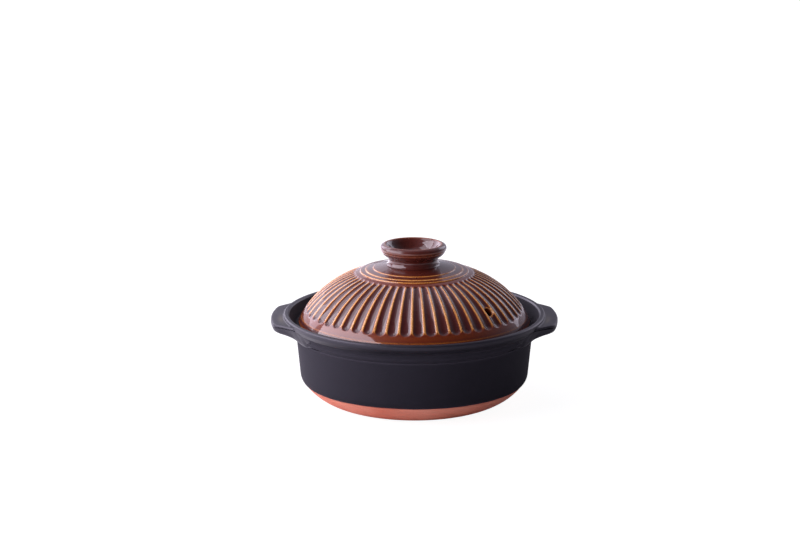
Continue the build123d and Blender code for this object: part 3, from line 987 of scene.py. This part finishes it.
def makeLid(glaze, clay):
    d = lidSizes()
    variation = lidVariation(d)
    shares = d["columnShares"]
    wide = len(shares) * d["fluteCount"]
    pitch = 360 / d["fluteCount"]
    crown, rings = crownProfile(d)
    startAngle = domeAngle(d, d["crownRadius"] + 1.4)
    endAngle = domeAngle(d, d["fluteOuter"] + 1.5)
    firstAngle, lastAngle = (domeAngle(d, v) for v in fluteEnds(d))
    above, along, below = d["domeRows"]
    steps = np.concatenate([
        np.linspace(startAngle, firstAngle, above)[:-1],
        np.linspace(firstAngle, lastAngle, along)[:-1],
        np.linspace(lastAngle, endAngle, below),
    ])
    skirt = skirtProfile(d, domeAt(d, endAngle)[0])
    points, rows = [], []
    count = d["plainColumns"]
    plain = np.radians(-90 + d["flutePhase"] + 360 * np.arange(count) / count)
    for radius, height in crown[:-1]:
        addRing(points, rows, radius, height, plain)
    soft = d["ridgeSoftness"]
    for angle in steps:
        base, way = domeAt(d, angle)
        rows.append(list(range(len(points), len(points) + wide)))
        for index, vary in enumerate(variation):
            for share in shares:
                depth = fluteDepth(d, angle, share, vary)
                if share == shares[0]:
                    depth = max(depth, fluteDepth(d, angle, 0.5, variation[index - 1]))
                depth = float(softMax(depth, 0.0, soft)) - soft / 2 * np.exp(-(depth / 0.3) ** 2)
                turned = radians(fluteHeading(d, index) + pitch * (share + vary["turn"] * cos(pi * share)))
                r, z = base - way * depth
                points.append((r * cos(turned), r * sin(turned), z))
    for radius, height in skirt[1:]:
        addRing(points, rows, radius, height, plain)
    faces = []
    for low, high in zip(rows, rows[1:]):
        if len(low) == len(high) or 1 in (len(low), len(high)):
            faces += ringFaces(low, high, True)
            continue
        # where the fluted columns meet the plain ones, each plain face takes a run of fine points
        fine, coarse = (high, low) if len(high) > len(low) else (low, high)
        ratio = len(fine) // len(coarse)
        for j in range(len(coarse)):
            run = [fine[(j * ratio + k) % len(fine)] for k in range(ratio + 1)]
            face = [coarse[(j + 1) % len(coarse)], coarse[j]] + run
            faces.append(tuple(face if len(high) > len(low) else reversed(face)))
    lid = toMesh("lid", points, faces, [glaze, clay])
    cutSteamHole(d, lid)
    paintLid(d, variation, lid, rings)
    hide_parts("lid_dome")
    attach(lid, "lid")


def holePlace(d):
    base, way = domeAt(d, domeAngle(d, d["holeDistance"]))
    a = radians(fluteHeading(d, d["holeFlute"]))
    axis = Vector((way[0] * cos(a), way[0] * sin(a), way[1]))
    point = Vector((base[0] * cos(a), base[0] * sin(a), base[1]))
    return point, axis


# A drilled hole whose outer edge is softened by the glaze
def cutSteamHole(d, lid):
    point, axis = holePlace(d)
    radius, stand = gouge(d, d["holeDistance"])[1:]
    depth = radius - stand
    lip, flare = d["holeRadius"], d["holeFlare"]
    section = [(0, -12), (lip, -12), (lip, -depth - flare)]
    for k in range(1, 7):
        t = k / 6 * radians(75)
        section.append((lip + flare * (1 - cos(t)), -depth - flare + flare * sin(t)))
    section += [(lip + flare * 1.6, -depth + flare), (lip + flare * 1.6, 6), (0, 6)]
    cutPoints, cutFaces = turnProfile(section, 48)
    turn = axis.to_track_quat("Z", "Y").to_matrix()
    cutPoints = [tuple(point + turn @ Vector(p)) for p in cutPoints]
    cutter = toMesh("steamHoleCutter", cutPoints, cutFaces, [])
    cut = lid.modifiers.new("steamHole", "BOOLEAN")
    cut.object = cutter
    cut.operation = "DIFFERENCE"
    cut.solver = "EXACT"
    bpy.context.view_layer.update()
    made = bpy.data.meshes.new_from_object(lid.evaluated_get(bpy.context.evaluated_depsgraph_get()))
    lid.modifiers.clear()
    old = lid.data
    lid.data = made
    bpy.data.meshes.remove(old)
    bpy.data.objects.remove(cutter)


# Where the glaze is thin, and which faces are the bare seat
def paintLid(d, variation, lid, rings):
    points = pointsOf(lid)
    flat = turnedBack(points)
    radius = flat[:, 0]
    mask = edgeMask(flat, rings + [
        (d["arris"], d["arrisZ"], 0.6, 0.34),
        (d["flange"], d["seat"] + d["flangeHeight"], 0.6, 0.3),
    ])
    away = np.hypot(flat[:, 0] - d["dome"].centre[0], flat[:, 1] - d["dome"].centre[1]) - d["dome"].radius
    first, last = fluteEnds(d)
    fromArris = np.hypot(radius - d["arris"], points[:, 2] - d["arrisZ"])
    onBand = (np.abs(away) < 0.3) & (radius > d["fluteOuter"])
    over = fromArris > d["poolOverArris"]
    mask = np.where(onBand & over, np.maximum(mask, d["bandThin"]), mask)
    # the glaze pools on the crown and in a line over the arris
    pooled = np.where(radius < d["crownRadius"] + 1.5, d["crownPool"], 0.0)
    pooled[onBand & ~over] = 1.0
    onDome = (away > -3.4) & (away < 0.6) & (radius > d["crownRadius"]) & (radius < d["fluteOuter"] + 3)
    for i in np.nonzero(onDome)[0]:
        depth, share = fluteAt(d, variation, *points[i])
        ridge = clamp((abs(share) - 0.33) / 0.12)
        scale = clamp(radius[i] / 95, 0.5)
        line = np.exp(-(depth / (d["ridgeLine"][0 if depth > 0 else 1] * scale)) ** 2)
        halo = d["haloThin"] * np.exp(-(depth / (d["haloReach"] * scale)) ** 2)
        before, beyond = max(0.0, first - radius[i]), max(0.0, radius[i] - last)
        cap = (0.04 + 0.96 * ridge) if before or beyond else 1.0
        fade = np.exp(-(before / 2.6) ** 2 - (beyond / 2.8) ** 2)
        mask[i] = max(mask[i], line * cap * fade + halo * (0.4 if beyond else 1.0))
        pooled[i] = clamp((depth - 0.15) / (0.5 if radius[i] > last - 5 else 0.95))
    place, axis = holePlace(d)
    offset = points - np.array(place)
    along = offset @ np.array(axis)
    aside = np.sqrt(np.maximum((offset ** 2).sum(1) - along ** 2, 0))
    rimThin, rimHalf = d["holeRim"]
    rim = rimThin * np.exp(-((aside - d["holeRadius"] - d["holeFlare"]) / rimHalf) ** 2) * (along > -3.0)
    mask = np.maximum(mask, rim)
    setMask(lid, "thinGlaze", mask)
    setMask(lid, "pooledGlaze", pooled)
    for polygon in lid.data.polygons:
        polygon.use_smooth = True
        centre = polygon.center
        if polygon.normal.z < -0.9 and abs(centre.z / mm - d["seat"]) < 0.3:
            polygon.material_index = 1


def makeKnob(glaze):
    k = knobSetup
    profile = splinePath(k["profile"])
    profile[:, 0] = np.clip(profile[:, 0], 0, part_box("lid_knob")[1].x / mm)
    profile = np.vstack([[0, profile[0][1]], profile])
    points, faces = turnProfile(profile, k["columns"])
    points = np.array(points)
    flat = turnedBack(points)
    points[:, 0] += k["offCentre"]  # luted on by hand, a little off the middle
    knob = toMesh("knob", points, faces, [glaze])
    setMask(knob, "thinGlaze", edgeMask(flat, k["thinEdges"]))
    setMask(knob, "pooledGlaze", np.full(len(flat), k["pooledGlaze"]))
    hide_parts("lid_knob")
    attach(knob, "lid")


bpy.context.scene.view_settings.view_transform = "Standard"
makeCamera()
makeWorld()
makeFloor()
for lampName, lampValues in lampSetup.items():
    makeLamp(lampName, **lampValues)
print("camera, floor and lamps are set")

mottleGroup, grainGroup = glazeMottleGroup(), clayGrainGroup()
potGlaze, lidGlaze, bareClay = makePotGlaze(mottleGroup), makeLidGlaze(mottleGroup), makeBareClay(grainGroup)
potNumbers, potSection = makePot(potGlaze, bareClay)
print("pot made")
makeLug(1, potNumbers, potSection, potGlaze)
makeLug(-1, potNumbers, potSection, potGlaze)
print("lugs made")
makeLid(lidGlaze, bareClay)
print("lid made")
makeKnob(lidGlaze)
print("knob made")

bpy.context.view_layer.update()
